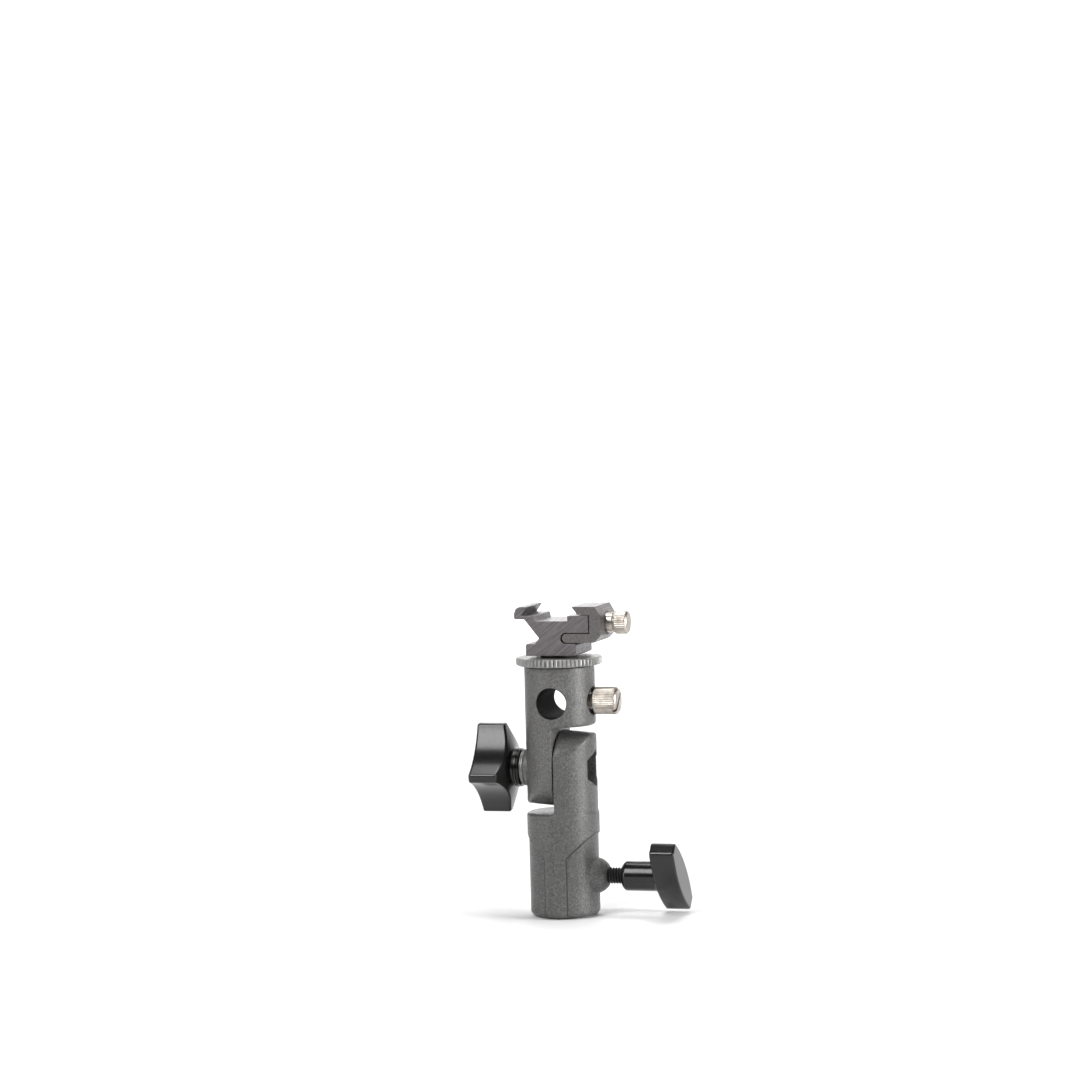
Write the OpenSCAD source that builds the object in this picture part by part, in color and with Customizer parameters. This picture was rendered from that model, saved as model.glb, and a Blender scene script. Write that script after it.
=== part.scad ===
// Swivel bracket for a light stand: a lower casting with a spigot socket, a tilting
// upper casting with an umbrella hole, and a clamping accessory shoe on a threaded stud.
// Origin: centre of the socket mouth. +Z up, +X towards the stand locking handle.

/* [Castings] */
// Radius of both tongues and of the upper casting
body_r = 12.5; // [12:0.1:13]
// Radius of the lower casting's barrel
barrel_r = 12.85; // [12.6:0.05:13.2]
// Height of the tilt axis above the socket mouth
tilt_z = 52; // [50:0.5:54]
// Distance from the tilt axis to each casting's shoulder
shoulder = 15.4; // [14.5:0.1:16.5]
// Radius of the tongues' round ends at the joint face; they draw in towards the outside
end_r = 13.6; // [13:0.1:14]
// Height of the upper casting's top face
top_z = 88.5; // [87:0.5:90]
// Half of the gap between the two tongues
half_gap = 0.15; // [0.1:0.05:0.3]

/* [Stand socket] */
// Radius of the socket for a 16 mm spigot
socket_r = 8.1; // [8.0:0.05:8.3]
// Depth of the socket
socket_depth = 33; // [28:0.5:34]
// Height of the locking screw's axis
lock_z = 13.8; // [12:0.1:16]
// Radius of the domed boss round the locking screw
dome_r = 6.5; // [6:0.1:7]
// Turn of the T handle's bar from upright, towards the front
handle_turn = 45; // [0:1:90]

/* [Umbrella hole] */
// Radius of the umbrella hole
umbrella_r = 5.35; // [5:0.05:5.6]
// Height of the umbrella hole's axis
umbrella_z = 76; // [75:0.25:76.5]

/* [Tilt knob] */
// Reach of the four lobes
lobe_r = 16.2; // [14:0.1:18]
// Turn of the knob from having a lobe straight up, towards the front
knob_turn = 8; // [0:1:45]

/* [Shoe] */
// Length of the shoe from front to back
shoe_len = 20; // [18:0.5:22]
// Number of teeth round the locking ring
ring_teeth = 72; // [48:4:80]
// Radius of the locking ring
ring_r = 15.3; // [14.5:0.1:16]

/* [Hidden] */
$fn = 96;

m6_r = 2.95;             // major radius of the M6 threads
m6_bore = 3.0;           // plain bore that stands for an M6 thread
m4_r = 1.95;
m4_bore = 2.0;
quarter_r = 3.12;        // 1/4 inch stud
quarter_bore = 3.175;
low_shoulder = tilt_z - shoulder;
up_shoulder = tilt_z + shoulder;
shoe_z = 92.7;           // underside of the shoe
jaw_z = 103.7;           // axis of the jaw's screw
hex_af = 11.4;           // pocket for the bolt head, across flats

casting = [0.27, 0.27, 0.28];
plastic = [0.07, 0.07, 0.07];
nickel = [0.72, 0.69, 0.64];
anodised = [0.33, 0.32, 0.34];
steel = [0.12, 0.12, 0.12];
ring_grey = [0.45, 0.45, 0.46];

// cylinder along +X from x0 to x1 at height z
module xcyl(r, x0, x1, z, r2 = -1) {
    translate([x0, 0, z]) rotate([0, 90, 0])
        cylinder(h = x1 - x0, r1 = r, r2 = r2 < 0 ? r : r2);
}

// body of revolution about a line along X at height z; points are [x, radius]
module xturn(pts, z) {
    translate([0, 0, z]) rotate([0, 90, 0])
        rotate_extrude() polygon([for (p = pts) [p[1], p[0]]]);
}

// flat profile in X and Z, as long as the shoe
module shoe_profile(pts) {
    translate([0, shoe_len / 2, 0]) rotate([90, 0, 0])
        linear_extrude(height = shoe_len) polygon(pts);
}

// points of an arc, for profiles
function arc(cx, cz, r, a0, a1, n) = [for (i = [0:n]) let (a = a0 + (a1 - a0) * i / n) [cx + r * cos(a), cz + r * sin(a)]];

// annular ridges that stand for a screw thread along X
function ridges(x0, x1, pitch, r, depth) =
    let (n = floor((x1 - x0) / pitch))
    concat([[x0, 0]],
           [for (i = [0:n - 1], k = [0:1]) k == 0 ? [x0 + i * pitch, r - depth] : [x0 + (i + 0.5) * pitch, r]],
           [[x0 + n * pitch, r - depth], [x1, r - depth], [x1, 0]]);

// half tongue: side is +1 for x > 0 and -1 for x < 0; it runs from the shoulder to its round end
module tongue(side, z0, z1) {
    intersection() {
        translate([0, 0, tilt_z - 20]) cylinder(h = 40, r = body_r);
        union() {
            xcyl(side > 0 ? end_r : end_r - 1.23, side > 0 ? 0 : -14, side > 0 ? 14 : 0, tilt_z, side > 0 ? end_r - 1.23 : end_r);
            translate([-14, -14, z0]) cube([28, 28, z1 - z0]);
        }
        translate([side > 0 ? half_gap : -20 - half_gap, -20, tilt_z - 21]) cube([20, 40, 42]);
    }
}

module barrel() {
    rotate_extrude() polygon([
        [0, 0], [barrel_r - 1.7, 0], [barrel_r - 0.8, 0.35], [barrel_r - 0.25, 1.1], [barrel_r, 2.0],
        [barrel_r, low_shoulder - 1.1], [barrel_r - 0.35, low_shoulder - 0.35], [barrel_r - 1.1, low_shoulder],
        [0, low_shoulder]]);
}

module side_panels() {
    difference() {
        translate([0, 0, -1]) cylinder(h = 40, r = barrel_r + 2);
        translate([0, 0, -2]) cylinder(h = 42, r = barrel_r - 0.4);
        translate([0, 20, 0]) rotate([90, 0, 0]) linear_extrude(height = 40)
            polygon([[-4, -3], [4, -3], [4, 21.1], [16, 32.4], [16, 50], [-16, 50], [-16, 32.4], [-4, 21.1]]);
    }
}

// boss round the stand locking screw: domed, with a flat face
module dome() {
    n = 12;
    xturn(concat([[9, 0], [9, dome_r * 0.954]],
        [for (i = [0:n]) let (a = 100 - (100 - 31.4) * i / n) [10.95 + dome_r * cos(a), dome_r * sin(a)]],
        [[10.95 + dome_r * cos(31.4), 0]]), lock_z);
}

module lower_body() color(casting) difference() {
    union() {
        difference() {
            barrel();
            side_panels();
        }
        tongue(1, low_shoulder - 2, tilt_z);
        dome();
    }
    translate([0, 0, -1]) cylinder(h = socket_depth + 1, r = socket_r);
    xcyl(m6_bore, 5, 20, lock_z);
    xcyl(m6_bore, -1, 14, tilt_z);
    translate([5.5, 0, tilt_z]) rotate([0, 90, 0]) cylinder(h = 12, r = hex_af / 2 / cos(30), $fn = 6);
    xcyl(8.1, -1, 0.6, tilt_z);
}

module upper_body() color(casting) difference() {
    union() {
        translate([0, 0, up_shoulder]) rotate_extrude() polygon([
            [0, 0], [body_r - 1.1, 0], [body_r - 0.35, 0.35], [body_r, 1.1],
            [body_r, top_z - up_shoulder - 0.5], [body_r - 0.5, top_z - up_shoulder], [0, top_z - up_shoulder]]);
        tongue(-1, tilt_z, up_shoulder + 2);
        xcyl(6.45, -12.9, -8, tilt_z);
    }
    xcyl(m6_bore, -14, 1, tilt_z);
    xcyl(8.1, -0.6, 1, tilt_z);
    translate([0, 20, umbrella_z]) rotate([90, 0, 0]) cylinder(h = 40, r = umbrella_r);
    xcyl(m6_bore, 3, 11, umbrella_z);
    xcyl(5.1, 10.2, 16, umbrella_z);
    translate([0, 0, 83]) cylinder(h = 10, r = quarter_bore);
}

module friction_disc() color(steel) difference() {
    xcyl(8, -0.5, 0.58, tilt_z);
    xcyl(m6_bore + 0.1, -2, 2, tilt_z);
}

module tilt_bolt() color(steel) union() {
    translate([5.5, 0, tilt_z]) rotate([0, 90, 0]) cylinder(h = 3.3, r = 11 / 2 / cos(30), $fn = 6);
    xcyl(m6_r, -16, 6, tilt_z);
    xturn(ridges(-27.5, -15.5, 1, m6_r, 0.4), tilt_z);
}

module washer(r, x0, x1) difference() {
    xcyl(r, x0, x1, tilt_z);
    xcyl(m6_bore + 0.15, x0 - 1, x1 + 1, tilt_z);
}

module tilt_washer() color(steel) washer(6.45, -13.65, -12.95);

module tilt_spring_washer() color(steel) washer(6.1, -14.35, -13.7);

module lobes() {
    c = 28;
    translate([0, 0, tilt_z]) rotate([knob_turn, 0, 0]) rotate([0, 90, 0]) translate([0, 0, -31])
        linear_extrude(height = 15) difference() {
            circle(r = lobe_r + 1);
            for (i = [0:3]) rotate(45 + 90 * i) translate([c * sqrt(2), 0]) circle(r = 29.1, $fn = 200);
        }
}

module tilt_knob() color(plastic) difference() {
    union() {
        intersection() {
            lobes();
            xturn([[-30, 0], [-30, lobe_r - 0.6], [-29.4, lobe_r], [-20.2, lobe_r], [-19.6, lobe_r - 0.5], [-17.2, 7.2], [-17.2, 0]], tilt_z);
        }
        xturn([[-20.5, 0], [-20.5, 5.4], [-16.4, 6.7], [-16.2, 6.95], [-15.5, 6.95], [-15.3, 6.6], [-15.0, 6.6], [-14.8, 6.9], [-14.45, 6.7], [-14.45, 0]], tilt_z);
    }
    xcyl(m6_bore + 0.1, -28.4, -14, tilt_z);
    translate([-25, 0, tilt_z]) rotate([0, 90, 0]) cylinder(h = 5.02, r = 10.04 / 2 / cos(30), $fn = 6);
    xcyl(4.02, -31, -28.8, tilt_z);
}

module tilt_knob_insert() color(nickel) difference() {
    translate([-24.99, 0, tilt_z]) rotate([0, 90, 0]) cylinder(h = 5, r = 10 / 2 / cos(30), $fn = 6);
    xcyl(m6_bore, -26, -19, tilt_z);
}

module tilt_knob_cap() color(plastic) xturn([[-30.2, 0], [-30.2, 3.2], [-29.9, 3.98], [-28.81, 3.98], [-28.81, 0]], tilt_z);

module stand_lock_screw() color(steel) xturn(ridges(8.2, 33.2, 1, m6_r - 0.03, 0.42), lock_z);

module stand_lock_handle() color(plastic) difference() {
    union() {
        xturn([[21.6, 0], [21.6, 4.1], [22.7, 5.3], [36, 5.3], [36, 0]], lock_z);
        translate([34.4, 0, lock_z]) rotate([handle_turn, 0, 0]) rotate([0, 90, 0])
            linear_extrude(height = 8.9) intersection() {
                translate([0, 40.2]) circle(r = 45.8, $fn = 200);
                translate([0, -40.2]) circle(r = 45.8, $fn = 200);
                square([32.6, 12], center = true);
            }
    }
    xcyl(m6_bore + 0.05, 20, 33.5, lock_z);
    translate([26, 0, lock_z]) rotate([0, 90, 0]) cylinder(h = 5.02, r = 8.04 / 2 / cos(30), $fn = 6);
}

module stand_handle_insert() color(nickel) difference() {
    translate([26.01, 0, lock_z]) rotate([0, 90, 0]) cylinder(h = 5, r = 8 / 2 / cos(30), $fn = 6);
    xcyl(m6_bore, 25, 32, lock_z);
}

module umbrella_lock_screw() color(nickel) xturn(ridges(5.2, 18.2, 1, m6_r - 0.02, 0.4), umbrella_z);

module umbrella_lock_knob() color(nickel) difference() {
    xturn([[12.9, 0], [12.9, 4.5], [13.2, 4.85], [20.9, 4.85], [21.5, 4.25], [21.5, 0]], umbrella_z);
    xcyl(m6_r + 0.01, 12, 18.3, umbrella_z);
    translate([20, 0, umbrella_z]) rotate([45, 0, 0]) translate([0, -6, -0.6]) cube([3, 12, 1.2]);
}

module shoe_stud() color(steel) translate([0, 0, 83.05]) rotate_extrude()
    polygon([[0, 0], [quarter_r - 0.4, 0], [quarter_r, 0.4], [quarter_r, 15.6], [quarter_r - 0.5, 16.1], [0, 16.1]]);

module lock_ring() color(ring_grey) difference() {
    intersection() {
        translate([0, 0, 88.84]) linear_extrude(height = 2.82)
            polygon([for (i = [0:ring_teeth * 4 - 1]) let (a = i * 90 / ring_teeth, r = (i % 4 < 2) ? ring_r : ring_r - 0.45) [r * cos(a), r * sin(a)]]);
        translate([0, 0, 88.84]) rotate_extrude() polygon([[0, 0], [ring_r - 1, 0], [ring_r + 0.1, 0.8], [ring_r + 0.1, 2.2], [ring_r - 0.5, 2.82], [0, 2.82]]);
    }
    translate([0, 0, 88]) cylinder(h = 5, r = quarter_bore);
}

module ring_washer() color(plastic) difference() {
    translate([0, 0, 91.7]) cylinder(h = 0.96, r = 6.6);
    translate([0, 0, 91]) cylinder(h = 3, r = quarter_bore + 0.1);
}

// the fixed half of the shoe: foot, waist, tongue and left lip
module shoe_base() color(anodised) difference() {
    shoe_profile(concat(
        [[-9.25, shoe_z], [8.9, shoe_z], [9.4, shoe_z + 0.5], [9.4, 96.5], [8.8, 97.0]],
        arc(5.5, 98.9, 1.9, 270, 90, 10),
        [[13.8, 100.8], [13.8, 106.9], [6.2, 106.9], [6.2, 105.0], [-5.4, 105.0], [-5.8, 106.9],
         [-10.7, 106.9], [-8.4, 110.0], [-11.6, 110.0], [-12.6, 109.4], [-13.3, 107.6], [-13.3, 106.0], [-12.9, 105.6],
         [-9.6, 105.6], [-4.3, 98.9], [-5.9, 97.0], [-8.8, 97.0], [-9.25, 96.5]]));
    translate([0, 0, 90]) cylinder(h = 9.6, r = quarter_bore);
    xcyl(m4_bore, 6.8, 15, jaw_z);
}

// the sliding half of the shoe: a C whose lower arm runs in the slot of the fixed half
module clamp_jaw() color(anodised) difference() {
    shoe_profile(concat(
        [[7.8, 110.0], [9.95, 107.2], [14.2, 107.2], [14.2, 100.5]],
        arc(5.75, 98.92, 1.58, 90, 270, 10),
        [[15.8, 97.35], [18.2, 99.8], [18.2, 106.7], [16.3, 110.0]]));
    xcyl(m4_bore + 0.1, 12, 20, jaw_z);
    xcyl(4.2, 17.6, 20, jaw_z);
}

module jaw_screw() color(nickel) xturn(ridges(7.4, 23, 0.7, m4_r, 0.3), jaw_z);

module jaw_knob() color(nickel) difference() {
    xturn([[17.65, 0], [17.65, 3.4], [17.8, 3.6], [20.6, 3.6], [20.75, 3.3], [21.1, 3.3], [21.3, 4.15], [25.3, 4.15], [25.9, 3.5], [25.9, 0]], jaw_z);
    xcyl(m4_r + 0.01, 17, 23.1, jaw_z);
}

lower_body();
upper_body();
friction_disc();
tilt_bolt();
tilt_washer();
tilt_spring_washer();
tilt_knob();
tilt_knob_insert();
tilt_knob_cap();
stand_lock_screw();
stand_lock_handle();
stand_handle_insert();
umbrella_lock_screw();
umbrella_lock_knob();
shoe_stud();
lock_ring();
ring_washer();
shoe_base();
clamp_jaw();
jaw_screw();
jaw_knob();
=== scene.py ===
import bpy
import bmesh
import math
import numpy as np
from mathutils import Matrix, Vector


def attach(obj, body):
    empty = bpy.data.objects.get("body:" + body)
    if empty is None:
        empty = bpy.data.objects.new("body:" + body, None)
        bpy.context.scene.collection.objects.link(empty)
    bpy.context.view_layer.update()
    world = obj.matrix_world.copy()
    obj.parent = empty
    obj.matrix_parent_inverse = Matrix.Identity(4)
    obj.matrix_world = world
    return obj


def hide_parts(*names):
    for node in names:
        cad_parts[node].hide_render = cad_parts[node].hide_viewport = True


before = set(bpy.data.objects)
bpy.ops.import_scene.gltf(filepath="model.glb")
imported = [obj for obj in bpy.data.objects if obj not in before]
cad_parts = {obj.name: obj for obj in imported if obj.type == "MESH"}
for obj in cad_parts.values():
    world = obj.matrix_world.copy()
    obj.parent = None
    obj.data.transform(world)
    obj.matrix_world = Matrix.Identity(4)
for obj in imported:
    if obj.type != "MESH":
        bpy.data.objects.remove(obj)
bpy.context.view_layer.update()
MM = 0.001

# ---------------------------------------------------------------- sizes, in mm
TZ = 52.0          # tilt axis
LOCK_Z = 13.8      # stand locking screw
UMB_Z = 76.0       # umbrella hole
JAW_Z = 103.7      # jaw screw
BODY_R, BARREL_R, END_R = 12.5, 12.85, 13.6
LOW_SH, UP_SH, TOP_Z = 36.6, 67.4, 88.5
GAP = 0.15


# ---------------------------------------------------------------- materials
def mat(name, base, metallic, rough, **kw):
    m = bpy.data.materials.new(name)
    m.use_nodes = True
    nt = m.node_tree
    b = nt.nodes["Principled BSDF"]
    b.inputs["Base Color"].default_value = (*base, 1)
    b.inputs["Metallic"].default_value = metallic
    b.inputs["Roughness"].default_value = rough
    for k, v in kw.items():
        b.inputs[k.replace("_", " ")].default_value = v
    return m, nt, b


def node(nt, kind, **props):
    n = nt.nodes.new(kind)
    for k, v in props.items():
        setattr(n, k, v)
    return n


def coords(nt, scale=1.0, rot=(0, 0, 0), stretch=(1, 1, 1)):
    tc = node(nt, "ShaderNodeTexCoord")
    turn = node(nt, "ShaderNodeMapping")
    turn.inputs["Rotation"].default_value = rot
    mp = node(nt, "ShaderNodeMapping")
    mp.inputs["Scale"].default_value = [scale * s for s in stretch]
    nt.links.new(tc.outputs["Object"], turn.inputs["Vector"])
    nt.links.new(turn.outputs["Vector"], mp.inputs["Vector"])
    return mp.outputs["Vector"]


def noise(nt, vec, scale, detail=4.0, rough=0.55):
    n = node(nt, "ShaderNodeTexNoise")
    n.inputs["Scale"].default_value = scale
    n.inputs["Detail"].default_value = detail
    n.inputs["Roughness"].default_value = rough
    nt.links.new(vec, n.inputs["Vector"])
    return n.outputs["Fac"]


def ramp(nt, fac, stops):
    r = node(nt, "ShaderNodeValToRGB")
    e = r.color_ramp.elements
    while len(e) < len(stops):
        e.new(0.5)
    for el, (p, c) in zip(e, stops):
        el.position = p
        el.color = (*c, 1) if len(c) == 3 else c
    nt.links.new(fac, r.inputs["Fac"])
    return r.outputs["Color"]


def scalar_ramp(nt, fac, p0, v0, p1, v1):
    r = node(nt, "ShaderNodeMapRange")
    r.inputs["From Min"].default_value = p0
    r.inputs["From Max"].default_value = p1
    r.inputs["To Min"].default_value = v0
    r.inputs["To Max"].default_value = v1
    nt.links.new(fac, r.inputs["Value"])
    return r.outputs["Result"]


def math_node(nt, op, a, b):
    n = node(nt, "ShaderNodeMath", operation=op)
    for i, v in enumerate((a, b)):
        if isinstance(v, (int, float)):
            n.inputs[i].default_value = v
        else:
            nt.links.new(v, n.inputs[i])
    return n.outputs[0]


def bump(nt, b, height, strength, dist):
    n = node(nt, "ShaderNodeBump")
    n.inputs["Strength"].default_value = strength
    n.inputs["Distance"].default_value = dist
    nt.links.new(height, n.inputs["Height"])
    nt.links.new(n.outputs["Normal"], b.inputs["Normal"])


def parts_of(nt):
    """Object coordinates in millimetres, one output per axis."""
    tc = node(nt, "ShaderNodeTexCoord")
    sep = node(nt, "ShaderNodeSeparateXYZ")
    nt.links.new(tc.outputs["Object"], sep.inputs["Vector"])
    return [math_node(nt, "MULTIPLY", sep.outputs[i], 1000.0) for i in range(3)]


def step_shade_lines(nt):
    """1 along the edge of the raised band on the barrel, 0 elsewhere; along this line the colour is darkened as painted
    shade, standing in for the shadow under the step.
    """
    x, y, z = parts_of(nt)
    ax = math_node(nt, "ABSOLUTE", x, 0.0)
    a = math_node(nt, "SUBTRACT", 4.0, ax)
    b = math_node(nt, "DIVIDE", math_node(nt, "SUBTRACT", math_node(nt, "SUBTRACT", z, 21.1), math_node(nt, "MULTIPLY", math_node(nt, "SUBTRACT", ax, 4.0), 0.943)), 1.374)
    edge = node(nt, "ShaderNodeMath", operation="SMOOTH_MAX")
    nt.links.new(a, edge.inputs[0])
    nt.links.new(b, edge.inputs[1])
    edge.inputs[2].default_value = 0.8
    off = math_node(nt, "ABSOLUTE", math_node(nt, "SUBTRACT", edge.outputs[0], 0.03), 0.0)
    line = scalar_ramp(nt, off, 0.10, 1.0, 0.24, 0.0)
    below = math_node(nt, "LESS_THAN", z, 33.0)
    out = math_node(nt, "GREATER_THAN", math_node(nt, "ADD", math_node(nt, "MULTIPLY", x, x), math_node(nt, "MULTIPLY", y, y)), 12.1 * 12.1)
    return math_node(nt, "MULTIPLY", math_node(nt, "MULTIPLY", line, below), out)


def bore_shade_mask(nt):
    """1 on the walls of the umbrella hole and of its screw's bore, 0 outside; there the colour is darkened as painted
    shade and the reflection is turned off.
    """
    x, y, z = parts_of(nt)
    zz = math_node(nt, "SUBTRACT", z, UMB_Z)
    d = math_node(nt, "SQRT", math_node(nt, "ADD", math_node(nt, "MULTIPLY", x, x), math_node(nt, "MULTIPLY", zz, zz)), 0.0)
    return scalar_ramp(nt, d, 5.42, 1.0, 5.75, 0.0)


def granular(name, base, metallic=0.35, mask=None, painted_shade_tone=0.3):
    """Powder coat: fine raised grains with a speckled tone; with a mask, painted shade darkens the masked step lines or
    bore walls.
    """
    m, nt, b = mat(name, base, metallic, 0.45)
    b.inputs["Specular IOR Level"].default_value = 0.34
    v = coords(nt, 1.0)
    fine = noise(nt, v, 2600, 3.0, 0.6)
    grain = noise(nt, v, 1300, 3.0, 0.6)
    broad = noise(nt, v, 60, 2.0)
    mix = math_node(nt, "ADD", math_node(nt, "MULTIPLY", fine, 0.5), math_node(nt, "MULTIPLY", grain, 0.5))
    tone = math_node(nt, "ADD", math_node(nt, "MULTIPLY", mix, 0.85), math_node(nt, "MULTIPLY", broad, 0.15))
    col = ramp(nt, tone, [(0.36, [c * 0.58 for c in base]), (0.50, base), (0.64, [min(1, c * 1.6) for c in base])])
    height = mix
    # painted shade: along the step edge the bump is cut in and the colour is darkened, in place of the shadow under the
    # step
    if mask == "step_shade":
        k = step_shade_lines(nt)
        height = math_node(nt, "SUBTRACT", mix, math_node(nt, "MULTIPLY", k, 1.2))
    # painted shade: the umbrella bore walls are darkened nearly to black and lose their reflection, in place of the
    # shade inside the hole
    elif mask == "bore":
        k = bore_shade_mask(nt)
        nt.links.new(scalar_ramp(nt, k, 0.0, 0.34, 1.0, 0.0), b.inputs["Specular IOR Level"])
    # painted shade: the masked places are multiplied towards the shade tone
    if mask:
        dark = node(nt, "ShaderNodeMix", data_type="RGBA", blend_type="MULTIPLY")
        nt.links.new(k, dark.inputs["Factor"])
        nt.links.new(col, dark.inputs["A"])
        dark.inputs["B"].default_value = (painted_shade_tone, painted_shade_tone, painted_shade_tone, 1)
        col = dark.outputs["Result"]
    nt.links.new(col, b.inputs["Base Color"])
    nt.links.new(scalar_ramp(nt, mix, 0.35, 0.45, 0.65, 0.31), b.inputs["Roughness"])
    bump(nt, b, height, 0.55, 0.00022)
    return m


def machined(name, base, metallic=0.75, rough=0.38, rot=(0, 0, 0), stretch=(1, 1, 1), scale=3000, deep=0.35, low=0.80, high=1.22):
    """Fine parallel tool marks under a satin anodised skin."""
    m, nt, b = mat(name, base, metallic, rough)
    lines = noise(nt, coords(nt, 1.0, rot, stretch), scale, 2.0, 0.5)
    cloud = noise(nt, coords(nt, 1.0), 700, 3.0)
    tone = math_node(nt, "ADD", math_node(nt, "MULTIPLY", lines, 0.82), math_node(nt, "MULTIPLY", cloud, 0.18))
    col = ramp(nt, tone, [(0.35, [c * low for c in base]), (0.50, base), (0.66, [min(1, c * high) for c in base])])
    nt.links.new(col, b.inputs["Base Color"])
    nt.links.new(scalar_ramp(nt, tone, 0.35, rough + 0.07, 0.65, rough - 0.06), b.inputs["Roughness"])
    bump(nt, b, lines, deep, 0.00006)
    return m


def plated(name, base, rough=0.24):
    """Plated metal, faintly brushed, with slight tarnish in patches."""
    m, nt, b = mat(name, base, 1.0, rough)
    cloud = noise(nt, coords(nt, 1.0), 420, 4.0)
    micro = noise(nt, coords(nt, 1.0, (0, 0, 0), (0.25, 1, 1)), 5200, 2.0)
    col = ramp(nt, cloud, [(0.32, [c * 0.72 for c in base]), (0.52, base), (0.72, [min(1, c * 1.12) for c in base])])
    nt.links.new(col, b.inputs["Base Color"])
    nt.links.new(scalar_ramp(nt, cloud, 0.3, rough + 0.12, 0.7, rough - 0.04), b.inputs["Roughness"])
    bump(nt, b, micro, 0.10, 0.00002)
    return m


def moulded(name, base=(0.0055, 0.0055, 0.0052), rough=0.21):
    """Glossy moulded plastic with a trace of orange peel and fine handling marks."""
    m, nt, b = mat(name, base, 0.0, rough, IOR=1.46)
    b.inputs["Specular IOR Level"].default_value = 0.5
    b.inputs["Coat Weight"].default_value = 0.06
    b.inputs["Coat Roughness"].default_value = 0.10
    peel = noise(nt, coords(nt, 1.0), 520, 3.0)
    marks = noise(nt, coords(nt, 1.0, (0.4, 0.2, 0.9), (1, 6, 1)), 900, 3.0)
    col = ramp(nt, peel, [(0.3, [c * 0.8 for c in base]), (0.55, base), (0.8, [c * 1.5 for c in base])])
    nt.links.new(col, b.inputs["Base Color"])
    nt.links.new(scalar_ramp(nt, marks, 0.35, rough - 0.04, 0.7, rough + 0.05), b.inputs["Roughness"])
    bump(nt, b, peel, 0.10, 0.00004)
    return m


def steel(name, base, rough=0.33, metallic=1.0):
    m, nt, b = mat(name, base, metallic, rough)
    cloud = noise(nt, coords(nt, 1.0), 380, 4.0)
    scr = noise(nt, coords(nt, 1.0, (0, 0, 0), (1, 1, 8)), 1500, 3.0)
    col = ramp(nt, cloud, [(0.3, [c * 0.7 for c in base]), (0.55, base), (0.75, [min(1, c * 1.2) for c in base])])
    nt.links.new(col, b.inputs["Base Color"])
    nt.links.new(scalar_ramp(nt, cloud, 0.3, rough + 0.1, 0.7, rough - 0.05), b.inputs["Roughness"])
    bump(nt, b, scr, 0.2, 0.00004)
    return m


# lower casting coat: carries the painted shade along the step edge lines of the barrel
M_CAST = granular("cast_coat", (0.086, 0.0855, 0.084), 0.10, "step_shade", 0.35)
# upper casting coat: carries the painted shade on the umbrella bore walls
M_CAST_UP = granular("cast_coat_upper", (0.098, 0.097, 0.095), 0.10, "bore", 0.04)
M_PLASTIC = moulded("black_plastic")
M_NICKEL = plated("nickel", (0.47, 0.432, 0.388), 0.30)
M_STEEL = steel("zinc_steel", (0.50, 0.49, 0.47))
M_WASHER = steel("washer_steel", (0.21, 0.208, 0.20), 0.42)
M_BLACK_STEEL = steel("black_steel", (0.030, 0.030, 0.030), 0.36, 0.6)
M_SHOE = machined("shoe_anodised", (0.150, 0.140, 0.145), rot=(0, math.radians(38), 0), stretch=(0.035, 0.3, 1.0), scale=2400, low=0.72, high=1.30)
M_JAW = machined("jaw_anodised", (0.140, 0.131, 0.130), rot=(0, 0, 0), stretch=(1.0, 0.06, 1.0), scale=2400)
M_RING = machined("ring_anodised", (0.27, 0.268, 0.262), 0.55, 0.42, stretch=(1, 1, 0.3), scale=1800)
M_RUBBER = moulded("washer_black", (0.014, 0.014, 0.014), 0.5)


# ---------------------------------------------------------------- distance fields
def iround(a, b, r):
    """Both a and b, with a rounded edge."""
    return np.minimum(-r, np.maximum(a, b)) + np.hypot(np.maximum(r + a, 0), np.maximum(r + b, 0))


def uround(a, b, r):
    """Either a or b, with a fillet."""
    return np.maximum(r, np.minimum(a, b)) - np.hypot(np.maximum(r - a, 0), np.maximum(r - b, 0))


def cut(a, b, r=0.0):
    return iround(a, -b, r) if r else np.maximum(a, -b)


def smooth(x, a, b):
    t = np.clip((x - a) / (b - a), 0, 1)
    return t * t * (3 - 2 * t)


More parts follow.
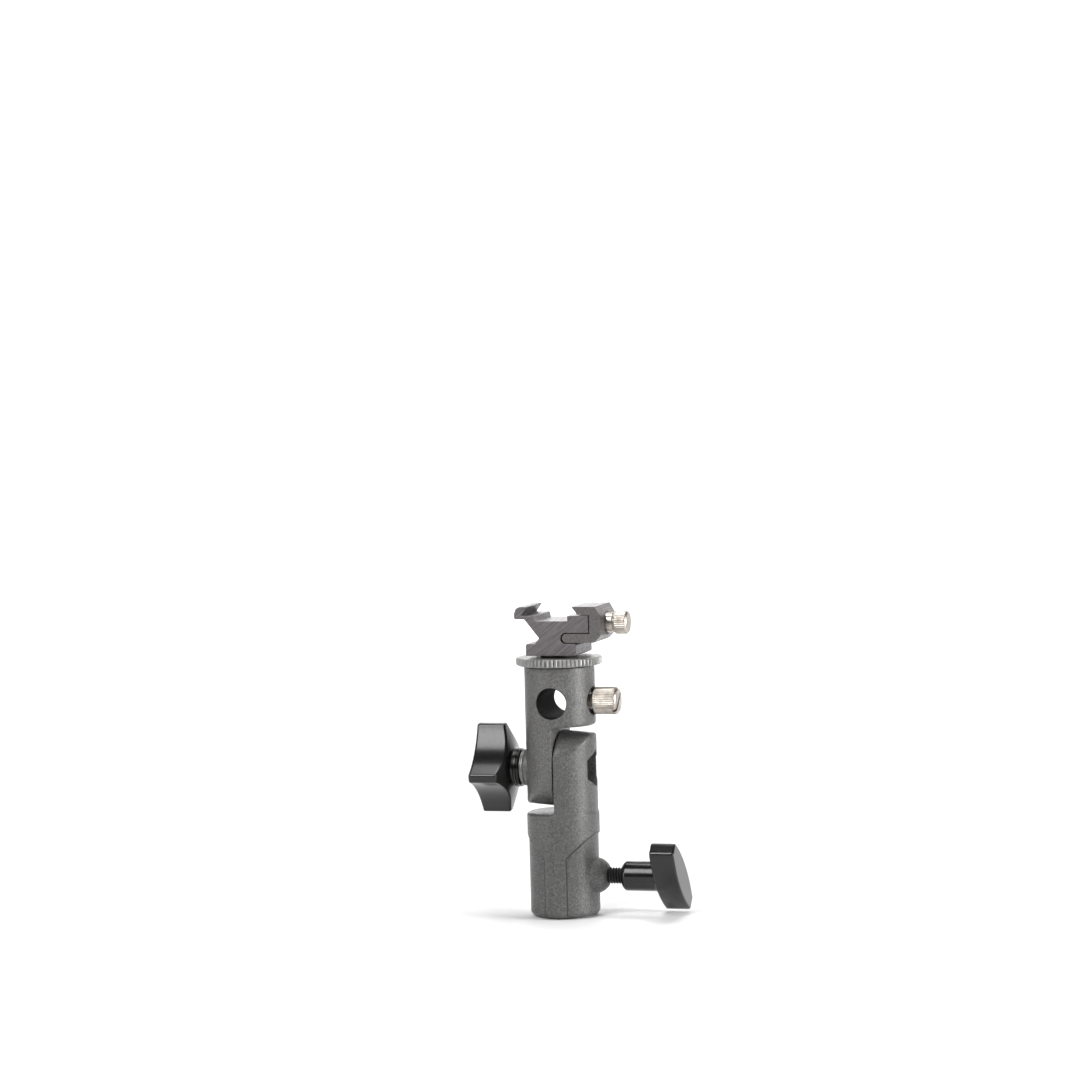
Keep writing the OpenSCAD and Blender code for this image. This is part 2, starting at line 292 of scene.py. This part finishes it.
def net(name, f, lo, hi, h, material, steps=3):
    """A mesh of the surface f = 0, as quads on a grid of pitch h, its points moved onto the surface."""
    lo = np.array(lo, float)
    n = np.ceil((np.array(hi, float) - lo) / h).astype(int) + 1
    ax = [lo[k] + h * np.arange(n[k]) for k in range(3)]
    X, Y, Z = np.meshgrid(*ax, indexing="ij")
    D = f(X, Y, Z)
    D = np.where(D == 0, 1e-9, D)
    s = D < 0
    corners = [(i, j, k) for i in (0, 1) for j in (0, 1) for k in (0, 1)]
    sl = lambda c: tuple(slice(c[k], n[k] - 1 + c[k]) for k in range(3))
    count = sum(s[sl(c)].astype(np.int8) for c in corners)
    mixed = (count > 0) & (count < 8)
    cell = np.argwhere(mixed)
    idx = -np.ones(mixed.shape, np.int64)
    idx[mixed] = np.arange(len(cell))
    P = np.zeros((len(cell), 3))
    W = np.zeros(len(cell))
    for c in corners:
        for k in range(3):
            if c[k] == 1:
                continue
            e = list(c)
            e[k] = 1
            da, db = D[sl(c)][mixed], D[sl(tuple(e))][mixed]
            m = (da < 0) != (db < 0)
            t = np.where(m, da / np.where(m, da - db, 1), 0)
            off = np.tile(np.array(c, float), (len(cell), 1))
            off[:, k] = t
            P[m] += off[m]
            W[m] += 1
    P = lo + h * (cell + P / W[:, None])
    quads = []
    for k in range(3):
        a, b = [(1, 2), (2, 0), (0, 1)][k]
        s0 = [slice(None)] * 3
        s1 = [slice(None)] * 3
        s0[k], s1[k] = slice(0, n[k] - 1), slice(1, n[k])
        cross = s[tuple(s0)] != s[tuple(s1)]
        cross_idx = np.argwhere(cross)
        ok = (cross_idx[:, a] > 0) & (cross_idx[:, b] > 0) & (cross_idx[:, a] < n[a] - 1) & (cross_idx[:, b] < n[b] - 1)
        ci = cross_idx[ok]
        inside_first = s[tuple(s0)][tuple(ci.T)]
        ring = []
        for da, db in ((-1, -1), (0, -1), (0, 0), (-1, 0)):
            q = ci.copy()
            q[:, a] += da
            q[:, b] += db
            ring.append(idx[tuple(q.T)])
        q = np.stack(ring, 1)
        q[~inside_first] = q[~inside_first][:, ::-1]
        quads.append(q)
    quads = np.concatenate(quads)
    e = h * 0.15
    for _ in range(steps):
        x, y, z = P.T
        d = f(x, y, z)
        g = np.stack([f(x + e, y, z) - f(x - e, y, z), f(x, y + e, z) - f(x, y - e, z), f(x, y, z + e) - f(x, y, z - e)], 1) / (2 * e)
        g2 = np.maximum((g * g).sum(1), 0.25)
        step = -(d / g2)[:, None] * g
        ln = np.linalg.norm(step, axis=1, keepdims=True)
        step *= np.minimum(1, 0.4 * h / np.maximum(ln, 1e-9))
        P = P + step
    me = bpy.data.meshes.new(name)
    me.from_pydata((P * MM).tolist(), [], quads.tolist())
    me.validate()
    me.polygons.foreach_set("use_smooth", [True] * len(me.polygons))
    me.update()
    return done(name, me, material)


def done(name, me, material):
    o = bpy.data.objects.new(name, me)
    bpy.context.scene.collection.objects.link(o)
    o.data.materials.append(material)
    return o


def put(o, body, node_name):
    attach(o, body)
    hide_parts(node_name)
    return o


def rho(x, y):
    return np.hypot(x, y)


def hexagon(y, z, af):
    """Distance to a hexagonal outline with flats at Y = +-af/2."""
    return np.maximum(np.abs(y), np.abs(y) / 2 + np.abs(z) * math.sqrt(3) / 2) - af / 2


# ---------------------------------------------------------------- castings
def f_lower(x, y, z):
    r = rho(x, y)
    radius = BODY_R + (BARREL_R - BODY_R) * (1 - smooth(z, LOW_SH - 0.45, LOW_SH + 0.35))
    skin = r - radius
    # raised band front and back, running into a V at the top; the rest is set back
    ax = np.abs(x)
    region = iround(4.0 - ax, (z - 21.1 - (ax - 4.0) * 0.943) / 1.374, 1.0)
    skin = cut(skin, np.maximum(region, BARREL_R - 0.52 - r), 0.05)
    profile = uround(z - LOW_SH, GAP - x, 1.5)
    edge = 0.45 + 0.65 * smooth(-x, 0.5, 3.0)
    d = iround(skin, profile, edge)
    d = iround(d, -z, 1.7)
    end = np.hypot(y, np.maximum(z - TZ, 0)) - (END_R - 0.088 * np.maximum(x, 0))
    d = iround(d, end, 0.85)
    dome = np.sqrt((x - 10.95) ** 2 + y * y + (z - LOCK_Z) ** 2) - 6.5
    dome = iround(dome, x - 16.5, 0.55)
    dome = np.maximum(dome, 8.6 - x)
    d = uround(d, dome, 0.35)
    bore = np.maximum(r - 8.1, z - 33.0)
    d = cut(d, bore, 0.35)
    d = cut(d, np.maximum(rho(y, z - LOCK_Z) - 3.0, 5.0 - x), 0.3)
    d = cut(d, np.maximum(hexagon(y, z - TZ, 11.4), 5.5 - x), 0.22)
    d = cut(d, np.maximum(rho(y, z - TZ) - 3.0, -1.0 - x))
    d = cut(d, np.maximum(rho(y, z - TZ) - 8.1, x - 0.6))
    return d


def f_upper(x, y, z):
    r = rho(x, y)
    profile = uround(UP_SH - z, x + GAP, 1.5)
    edge = 0.4 + 0.75 * smooth(x, 0.5, 3.0)
    d = iround(r - BODY_R, profile, edge)
    end = np.hypot(y, np.maximum(TZ - z, 0)) - (END_R + 0.088 * np.minimum(x, 0))
    d = iround(d, end, 0.85)
    d = iround(d, z - TOP_Z, 0.45)
    boss = iround(rho(y, z - TZ) - 6.45, -12.9 - x, 0.35)
    boss = np.maximum(boss, x + 8.0)
    d = uround(d, boss, 0.45)
    hole = rho(x, z - UMB_Z) - 5.35
    d = cut(d, hole, 0.3)
    d = cut(d, np.maximum(rho(y, z - UMB_Z) - 5.1, 10.2 - x), 0.2)
    d = cut(d, np.maximum(rho(y, z - UMB_Z) - 3.0, 3.0 - x), 0.15)
    d = cut(d, np.maximum(r - 3.175, 83.0 - z), 0.3)
    d = cut(d, rho(y, z - TZ) - 3.0 + 20 * np.maximum(x - 2, 0))
    d = cut(d, np.maximum(rho(y, z - TZ) - 8.1, -0.6 - x))
    return d


H = 0.24
lower = net("lower_casting", f_lower, (-13.9, -13.9, -1.0), (17.6, 13.9, 66.6), H, M_CAST)
put(lower, "stand_part", "lower_body")
upper = net("upper_casting", f_upper, (-14.0, -13.6, 37.4), (13.6, 13.6, 89.4), H, M_CAST_UP)
put(upper, "head", "upper_body")


# ---------------------------------------------------------------- turned parts
def axis_matrix(axis, z):
    """Local +Z becomes +X or -X at height z, or stays +Z, in mm."""
    if axis == "x":
        return Matrix(((0, 0, 1), (0, 1, 0), (-1, 0, 0))), z
    return Matrix.Identity(3), 0.0


def rounded_profile(pts, r, seg=3):
    """Corners of an open (distance along axis, radius) polyline, each replaced by an arc of about r."""
    out = [pts[0]]
    for a, b, c in zip(pts, pts[1:], pts[2:]):
        a, b, c = map(np.array, (a, b, c))
        la, lc = np.linalg.norm(a - b), np.linalg.norm(c - b)
        k = min(r, la * 0.45, lc * 0.45)
        if k < 1e-4:
            out.append(tuple(b))
            continue
        p, q = b + (a - b) / la * k, b + (c - b) / lc * k
        for i in range(seg + 1):
            t = i / seg
            out.append(tuple((1 - t) ** 2 * p + 2 * t * (1 - t) * b + t * t * q))
    out.append(pts[-1])
    return out


def lathe(name, pts, material, axis="x", z=0.0, n=96, teeth=0, depth=0.0, band=None, per=6, round_r=0.12, sharp=35, close_axis=True):
    """Turned body. pts are (along, radius) in mm. Between band's two values the skin carries straight teeth."""
    prof = rounded_profile(pts, round_r)
    if teeth:
        n = teeth * per
        fine = []
        for (a0, r0), (a1, r1) in zip(prof, prof[1:]):
            m = max(1, int(abs(a1 - a0) / 0.45)) if r0 > 0.5 and r1 > 0.5 else 1
            for i in range(m):
                fine.append((a0 + (a1 - a0) * i / m, r0 + (r1 - r0) * i / m))
        fine.append(prof[-1])
        prof = fine
    ang = 2 * np.pi * np.arange(n) / n
    verts, rows = [], []
    for a, r in prof:
        if r < 1e-6:
            rows.append([len(verts)])
            verts.append((0, 0, a))
            continue
        rr = np.full(n, r)
        if teeth and band[0] <= a <= band[1]:
            edge = min(1.0, (a - band[0]) / 0.25 + 0.15, (band[1] - a) / 0.25 + 0.15)
            ph = (np.arange(n) % per) / per
            groove = np.clip(np.abs(ph - 0.5) * 3.2 - 0.55, 0, 1)
            rr = rr - depth * edge * groove
        rows.append(list(range(len(verts), len(verts) + n)))
        verts += [(rr[i] * math.cos(ang[i]), rr[i] * math.sin(ang[i]), a) for i in range(n)]
    faces = []
    for A, B in zip(rows, rows[1:]):
        if len(A) == 1 and len(B) == 1:
            continue
        if len(A) == 1:
            faces += [(A[0], B[(i + 1) % n], B[i]) for i in range(n)]
        elif len(B) == 1:
            faces += [(A[i], A[(i + 1) % n], B[0]) for i in range(n)]
        else:
            faces += [(A[i], A[(i + 1) % n], B[(i + 1) % n], B[i]) for i in range(n)]
    return turned(name, verts, faces, material, axis, z, sharp)


def turned(name, verts, faces, material, axis, z, sharp=35):
    if axis == "x":
        verts = [(c, b, -a) for a, b, c in verts]
        verts = [(x, y, zz + z) for x, y, zz in verts]
    me = bpy.data.meshes.new(name)
    me.from_pydata([(x * MM, y * MM, zz * MM) for x, y, zz in verts], [], faces)
    bm = bmesh.new()
    bm.from_mesh(me)
    bmesh.ops.recalc_face_normals(bm, faces=bm.faces)
    bm.to_mesh(me)
    bm.free()
    me.polygons.foreach_set("use_smooth", [True] * len(me.polygons))
    me.set_sharp_from_angle(angle=math.radians(sharp))
    me.update()
    return done(name, me, material)


def screw(name, a0, a1, r, pitch, depth, material, axis="x", z=0.0, plain=None, n=48, lead_in=0.6):
    """Threaded stem with a real helix from a0 to a1; plain = (end, radius) continues it unthreaded."""
    per = 12
    m = int((a1 - a0) / pitch * per)
    verts, faces, rows = [], [], []
    verts.append((0, 0, a0))
    rows.append([0])
    for j in range(m + 1):
        a = a0 + (a1 - a0) * j / m
        fade = min(1.0, (a - a0) / lead_in)
        row = []
        for i in range(n):
            ph = (a / pitch - i / n) % 1.0
            tooth = min(1.0, max(0.0, (0.5 - abs(ph - 0.5)) * 2 * 1.25 - 0.06))
            rr = r - depth * (1 - tooth)
            rr = min(rr, r - depth + depth * fade) if fade < 1 else rr
            if j == 0:
                rr = r - depth - 0.35
            row.append(len(verts))
            t = 2 * math.pi * i / n
            verts.append((rr * math.cos(t), rr * math.sin(t), a))
        rows.append(row)
    if plain:
        for a, rr in [(a1 + 0.05, plain[1]), (plain[0] - 0.2, plain[1]), (plain[0], plain[1] - 0.25)]:
            rows.append(list(range(len(verts), len(verts) + n)))
            verts += [(rr * math.cos(2 * math.pi * i / n), rr * math.sin(2 * math.pi * i / n), a) for i in range(n)]
        end = plain[0]
    else:
        end = a1
    rows.append([len(verts)])
    verts.append((0, 0, end))
    for A, B in zip(rows, rows[1:]):
        if len(A) == 1:
            faces += [(A[0], B[(i + 1) % n], B[i]) for i in range(n)]
        elif len(B) == 1:
            faces += [(A[i], A[(i + 1) % n], B[0]) for i in range(n)]
        else:
            faces += [(A[i], A[(i + 1) % n], B[(i + 1) % n], B[i]) for i in range(n)]
    return turned(name, verts, faces, material, axis, z, 60)


def join(name, objs):
    base = objs[0]
    bm = bmesh.new()
    bm.from_mesh(base.data)
    for o in objs[1:]:
        bm.from_mesh(o.data)
    bm.to_mesh(base.data)
    bm.free()
    for o in objs[1:]:
        bpy.data.objects.remove(o)
    base.name = name
    return base


def boolean(o, cutter, op="DIFFERENCE"):
    """The cut is worked out at once, so that the piece is one plain mesh."""
    m = o.modifiers.new("cut", "BOOLEAN")
    m.operation = op
    m.object = cutter
    m.solver = "EXACT"
    dg = bpy.context.evaluated_depsgraph_get()
    me = bpy.data.meshes.new_from_object(o.evaluated_get(dg))
    o.modifiers.clear()
    o.data = me
    bpy.data.objects.remove(cutter)
    return o


def block(name, size, centre, rot=(0, 0, 0)):
    bm = bmesh.new()
    bmesh.ops.create_cube(bm, size=1)
    me = bpy.data.meshes.new(name)
    bm.to_mesh(me)
    bm.free()
    o = bpy.data.objects.new(name, me)
    bpy.context.scene.collection.objects.link(o)
    from mathutils import Euler
    me.transform(Matrix.Translation(Vector(centre) * MM) @ Euler(rot).to_matrix().to_4x4() @ Matrix.Diagonal(Vector([s * MM for s in size] + [1])))
    return o


# tilt bolt: chamfered hex head and a threaded end
def f_head(x, y, z):
    d = iround(hexagon(y, z - TZ, 10.95), 5.5 - x, 0.12)
    d = iround(d, x - 8.8, 0.12)
    r = rho(y, z - TZ)
    return iround(d, ((x - 8.8) * 0.87 + (r - 5.3) * 0.5), 0.1)


head_h = 0.16
bolt = join("tilt_bolt_real", [
    net("bolt_head", f_head, (5.0, -7.2, TZ - 7.2), (10.0, 7.2, TZ + 7.2), head_h, M_BLACK_STEEL),
    screw("bolt_stem", -27.5, -15.0, 2.94, 1.0, 0.5, M_BLACK_STEEL, z=TZ, plain=(6.2, 2.93)),
])
put(bolt, "stand_part", "tilt_bolt")

put(lathe("friction_disc_real", [(-0.5, 3.1), (-0.5, 8.0), (0.58, 8.0), (0.58, 3.1), (-0.5, 3.1)], M_BLACK_STEEL, z=TZ, round_r=0.15),
    "stand_part", "friction_disc")
put(lathe("tilt_washer_real", [(-13.65, 3.15), (-13.65, 6.45), (-12.95, 6.45), (-12.95, 3.15), (-13.65, 3.15)], M_WASHER, z=TZ, round_r=0.18),
    "stand_part", "tilt_washer")


def split_washer():
    """Spring washer: a ring of square section, cut through, its ends a little apart along the axis."""
    n, verts, faces = 110, [], []
    a0, a1 = math.radians(96), math.radians(96 + 354)
    sec = rounded_profile([(-0.25, 3.2), (-0.25, 6.05), (0.25, 6.05), (0.25, 3.2), (-0.25, 3.2)], 0.12, 2)
    for i in range(n + 1):
        t = i / n
        th = a0 + (a1 - a0) * t
        sh = (t - 0.5) * 0.12
        for a, r in sec:
            verts.append((r * math.cos(th), r * math.sin(th), -14.02 + a + sh))
    k = len(sec)
    for i in range(n):
        for j in range(k - 1):
            faces.append((i * k + j, i * k + j + 1, (i + 1) * k + j + 1, (i + 1) * k + j))
    faces.append(tuple(range(k - 1)))
    faces.append(tuple(n * k + j for j in range(k - 2, -1, -1)))
    return turned("spring_washer_real", verts, faces, M_WASHER, "x", TZ)


put(split_washer(), "knob_washer", "tilt_spring_washer")


# ---------------------------------------------------------------- tilt knob
def f_knob(x, y, z):
    t = math.radians(8)
    zz = z - TZ
    # lobe 0 points up, turned towards the front (-Y)
    p = -y * math.sin(t) + zz * math.cos(t)
    q = y * math.cos(t) + zz * math.sin(t)
    r = rho(y, zz)
    web = 29.1 - np.hypot(np.abs(p) - 28.0, np.abs(q) - 28.0)
    lobes = iround(r - 16.2, web, 0.55)
    inner = ((x + 17.2) * 8.5 + (r - 7.2) * 2.4) / 8.83
    d = iround(iround(lobes, -30.0 - x, 0.75), inner, 0.6)
    # hub: cone, then the collar
    cone = ((r - 6.9) * 4.2 + (-(x + 16.2)) * 2.0) / 4.65
    hub = np.maximum(np.maximum(cone, x + 16.0), -22.0 - x)
    d = uround(d, hub, 0.8)
    d = cut(d, np.maximum(r - 4.02, x + 28.8), 0.3)
    d = cut(d, np.maximum(r - 3.1, -28.4 - x))
    # shallow dish round the end cap
    d = cut(d, np.sqrt((x + 37.4) ** 2 + r * r) - 8.1, 0.3)
    return d


knob = join("tilt_knob_real", [
    net("knob_lobes", f_knob, (-30.9, -17.3, TZ - 17.3), (-15.4, 17.3, TZ + 17.3), 0.23, M_PLASTIC),
    lathe("knob_collar", [(-16.6, 3.12), (-16.6, 6.4), (-16.35, 6.9), (-15.55, 6.95), (-15.4, 6.5), (-15.05, 6.5), (-14.9, 6.9), (-14.5, 6.75), (-14.45, 3.12), (-16.6, 3.12)], M_PLASTIC, z=TZ, round_r=0.14),
])
put(knob, "knob", "tilt_knob")
put(lathe("knob_cap_real", [(-30.1, 0), (-30.1, 2.9), (-29.75, 3.75), (-29.3, 3.97), (-28.81, 3.97), (-28.81, 0)], M_PLASTIC, z=TZ, round_r=0.3),
    "knob", "tilt_knob_cap")


def hex_insert(name, x0, x1, af, z, material, body, node_name):
    def f(x, y, zz):
        d = iround(hexagon(y, zz - z, af), np.maximum(x0 - x, x - x1), 0.15)
        return cut(d, rho(y, zz - z) - 3.0, 0.12)
    o = net(name, f, (x0 - 0.6, -af * 0.7, z - af * 0.7), (x1 + 0.6, af * 0.7, z + af * 0.7), 0.3, material)
    return put(o, body, node_name)


hex_insert("knob_insert_real", -24.99, -19.99, 9.98, TZ, M_STEEL, "knob", "tilt_knob_insert")


# ---------------------------------------------------------------- stand screw and T handle
put(screw("stand_screw_real", 8.2, 33.0, 2.92, 1.0, 0.55, M_BLACK_STEEL, z=LOCK_Z), "stand_screw", "stand_lock_screw")


def f_tee(x, y, z):
    t = math.radians(45)
    zz = z - LOCK_Z
    u = -y * math.sin(t) + zz * math.cos(t)     # along the bar
    w = y * math.cos(t) + zz * math.sin(t)      # across it
    lens = iround(np.hypot(u, w - 40.2) - 45.8, np.hypot(u, w + 40.2) - 45.8, 0.8)
    bar = iround(lens, np.abs(u) - 16.3, 1.0)
    bar = iround(bar, x - 43.3, 0.7)
    bar = iround(bar, 34.4 - x, 0.6)
    r = rho(y, zz)
    hub = iround(r - 5.3, 21.6 - x, 0.4)
    hub = iround(hub, ((21.6 - x) + (r - 4.15)) * 0.7071 , 0.35)
    hub = np.maximum(hub, x - 37.0)
    d = uround(bar, hub, 0.7)
    return cut(d, np.maximum(r - 3.05, x - 33.5), 0.25)


tee = net("t_handle_real", f_tee, (21.0, -15.4, -1.6), (44.2, 15.4, 29.6), 0.24, M_PLASTIC)
put(tee, "stand_handle", "stand_lock_handle")
hex_insert("handle_insert_real", 26.01, 31.01, 7.98, LOCK_Z, M_STEEL, "stand_handle", "stand_handle_insert")


# ---------------------------------------------------------------- umbrella screw and knob
put(screw("umbrella_screw_real", 5.2, 18.1, 2.92, 1.0, 0.55, M_NICKEL, z=UMB_Z), "umbrella_screw", "umbrella_lock_screw")
uk = lathe("umbrella_knob_real", [(12.9, 2.98), (12.9, 4.45), (13.15, 4.85), (20.75, 4.85), (21.5, 4.15), (21.5, 0.0)],
           M_NICKEL, z=UMB_Z, teeth=44, depth=0.15, band=(13.2, 20.8), per=8, round_r=0.35)
boolean(uk, block("slot_cutter", (3.0, 1.2, 12.0), (21.55, 0, UMB_Z), (math.radians(-45), 0, 0)))
uk.data.materials.clear()
uk.data.materials.append(M_NICKEL)
put(uk, "umbrella_knob", "umbrella_lock_knob")

# ---------------------------------------------------------------- shoe stud, ring, washer
put(screw("shoe_stud_real", 83.05, 99.1, 3.1, 1.27, 0.6, M_STEEL, axis="z"), "head", "shoe_stud")
put(lathe("lock_ring_real", [(88.84, 3.2), (88.84, 14.75), (89.2, 15.28), (91.25, 15.28), (91.66, 14.9), (91.66, 3.2), (88.84, 3.2)],
          M_RING, axis="z", teeth=62, depth=0.62, band=(88.86, 91.64), per=8, round_r=0.14),
    "ring", "lock_ring")
put(lathe("ring_washer_real", [(91.7, 3.3), (91.7, 6.6), (92.66, 6.6), (92.66, 3.3), (91.7, 3.3)], M_RUBBER, axis="z", round_r=0.2),
    "ring_carrier", "ring_washer")


# ---------------------------------------------------------------- shoe
def arc(cx, cz, r, a0, a1, n):
    return [(cx + r * math.cos(math.radians(a0 + (a1 - a0) * i / n)), cz + r * math.sin(math.radians(a0 + (a1 - a0) * i / n))) for i in range(n + 1)]


def prism(name, pts, half, material, bevel=0.28):
    bm = bmesh.new()
    a = [bm.verts.new((x * MM, -half * MM, z * MM)) for x, z in pts]
    b = [bm.verts.new((x * MM, half * MM, z * MM)) for x, z in pts]
    n = len(pts)
    bm.faces.new(a)
    bm.faces.new(b[::-1])
    for i in range(n):
        bm.faces.new((a[i], b[i], b[(i + 1) % n], a[(i + 1) % n]))
    bmesh.ops.recalc_face_normals(bm, faces=bm.faces)
    me = bpy.data.meshes.new(name)
    bm.to_mesh(me)
    bm.free()
    return done(name, me, material)


def finish_edges(o, width, material, angle=25):
    o.data.materials.clear()
    o.data.materials.append(material)
    for p in o.data.polygons:
        p.use_smooth = True
        p.material_index = 0
    m = o.modifiers.new("edges", "BEVEL")
    m.width = width * MM
    m.segments = 3
    m.limit_method = "ANGLE"
    m.angle_limit = math.radians(angle)
    m.harden_normals = True
    return o


SHOE = ([(-9.25, 92.7), (8.9, 92.7), (9.4, 93.2), (9.4, 96.5), (8.8, 97.0)] + arc(5.5, 98.9, 1.9, 270, 90, 14) +
        [(13.8, 100.8), (13.8, 106.9), (6.2, 106.9), (6.2, 105.0), (-5.4, 105.0), (-5.8, 106.9),
         (-10.7, 106.9), (-8.4, 110.0), (-11.6, 110.0), (-12.6, 109.4), (-13.3, 107.6), (-13.3, 106.0), (-12.9, 105.6),
         (-9.6, 105.6), (-4.3, 98.9), (-5.9, 97.0), (-8.8, 97.0), (-9.25, 96.5)])
JAW = ([(7.8, 110.0), (9.95, 107.2), (14.2, 107.2), (14.2, 100.5)] + arc(5.75, 98.92, 1.58, 90, 270, 14) +
       [(15.8, 97.35), (18.2, 99.8), (18.2, 106.7), (16.3, 110.0)])


def rod(name, r, a0, a1, axis="x", z=0.0, n=64):
    return lathe(name, [(a0, 0), (a0, r), (a1, r), (a1, 0)], M_STEEL, axis=axis, z=z, n=n, round_r=0)


base = prism("shoe_base_real", SHOE, 10.0, M_SHOE)
boolean(base, rod("c1", 3.175, 90.0, 99.6, "z"))
boolean(base, rod("c2", 2.0, 6.8, 15.0, "x", JAW_Z))
finish_edges(base, 0.22, M_SHOE)
put(base, "shoe", "shoe_base")

jaw = prism("clamp_jaw_real", JAW, 10.0, M_JAW)
boolean(jaw, rod("c3", 2.05, 12.0, 20.0, "x", JAW_Z))
boolean(jaw, rod("c4", 4.2, 17.6, 20.0, "x", JAW_Z))
finish_edges(jaw, 0.24, M_JAW)
put(jaw, "jaw", "clamp_jaw")

put(screw("jaw_screw_real", 7.4, 23.0, 1.94, 0.7, 0.38, M_NICKEL, z=JAW_Z, n=36), "jaw", "jaw_screw")
jk = lathe("jaw_knob_real", [(17.65, 1.97), (17.65, 3.35), (17.8, 3.6), (20.55, 3.6), (20.7, 3.25), (21.1, 3.25), (21.35, 4.15), (25.2, 4.15), (25.9, 3.5), (25.9, 0.0)],
           M_NICKEL, z=JAW_Z, teeth=36, depth=0.20, band=(21.4, 25.3), per=8, round_r=0.16)
put(jk, "jaw_turn", "jaw_knob")

# ---------------------------------------------------------------- floor, light, camera
floor_mat, fnt, fb = mat("floor_pale", (0.86, 0.86, 0.86), 0.0, 0.75)
fcol = ramp(fnt, noise(fnt, coords(fnt, 1.0), 3.0, 2.0), [(0.3, (0.85, 0.85, 0.85)), (0.7, (0.87, 0.87, 0.87))])
fnt.links.new(fcol, fb.inputs["Base Color"])
sweep, width, depth0, back_y, rad = [], 4.0, -3.0, 1.6, 0.8
prof = [(depth0, 0.0), (back_y - rad, 0.0)] + [(back_y - rad + rad * math.sin(a), rad - rad * math.cos(a)) for a in [math.pi / 2 * i / 16 for i in range(1, 17)]] + [(back_y, 4.0)]
verts = [(sx * width, y, z - 0.0006) for y, z in prof for sx in (-1, 1)]
faces = [(2 * i, 2 * i + 1, 2 * i + 3, 2 * i + 2) for i in range(len(prof) - 1)]
me = bpy.data.meshes.new("sweep")
me.from_pydata(verts, [], faces)
me.polygons.foreach_set("use_smooth", [True] * len(me.polygons))
floor = done("sweep", me, floor_mat)

world = bpy.data.worlds.new("studio")
bpy.context.scene.world = world
world.use_nodes = True
wn = world.node_tree.nodes["Background"]
wn.inputs["Color"].default_value = (1, 1, 1, 1)
wn.inputs["Strength"].default_value = 0.05


def area(name, loc, target, size, power, shape_y=None, spread=180):
    l = bpy.data.lights.new(name, "AREA")
    l.shape = "RECTANGLE"
    l.size = size
    l.size_y = shape_y or size
    l.energy = power
    l.spread = math.radians(spread)
    o = bpy.data.objects.new(name, l)
    bpy.context.scene.collection.objects.link(o)
    o.location = loc
    o.rotation_euler = (Vector(target) - Vector(loc)).to_track_quat("-Z", "Y").to_euler()
    return o


mid = (0, 0, 0.055)
area("right_side", (1.15, -0.15, 0.25), mid, 0.24, 19.0, 0.65)
area("side_left", (-1.0, -0.55, 0.28), mid, 0.28, 1.3, 0.75)
area("left_front", (-0.75, -0.95, 0.35), mid, 0.28, 4.0, 0.6)
area("front_top", (-0.37, -0.89, 0.925), mid, 0.38, 8.8, 0.7)
area("top", (0.1, 0.15, 1.3), mid, 0.6, 1.2)
area("back_wash", (-0.42, 0.55, 1.5), (-0.42, 1.6, 0.35), 1.1, 15.0, 0.7, 80)
area("floor_wash", (-0.08, 0.35, 1.6), (-0.08, 0.3, 0.0), 0.9, 3.5, None, 75)

scene = bpy.context.scene
scene.view_settings.view_transform = "Standard"
scene.view_settings.look = "None"

cam_data = bpy.data.cameras.new("camera")
cam_data.sensor_width = 36.0
cam_data.lens = 122.2
cam_data.clip_start, cam_data.clip_end = 0.05, 20.0
cam = bpy.data.objects.new("camera", cam_data)
scene.collection.objects.link(cam)
AZ, EL, ROLL = math.radians(16.5), math.radians(3.55), 0.0274
f = Vector((-math.sin(AZ) * math.cos(EL), math.cos(AZ) * math.cos(EL), -math.sin(EL)))
r0 = Vector((math.cos(AZ), math.sin(AZ), 0))
v0 = r0.cross(f)
v = v0 * math.cos(ROLL) + r0 * math.sin(ROLL)
r = r0 * math.cos(ROLL) - v0 * math.sin(ROLL)
P = Vector((0, 0, 0.052))
C = P - f * 1.3 - r * 0.0078 + v * 0.0807
cam.matrix_world = Matrix(((r.x, v.x, -f.x, C.x), (r.y, v.y, -f.y, C.y), (r.z, v.z, -f.z, C.z), (0, 0, 0, 1)))
scene.camera = cam
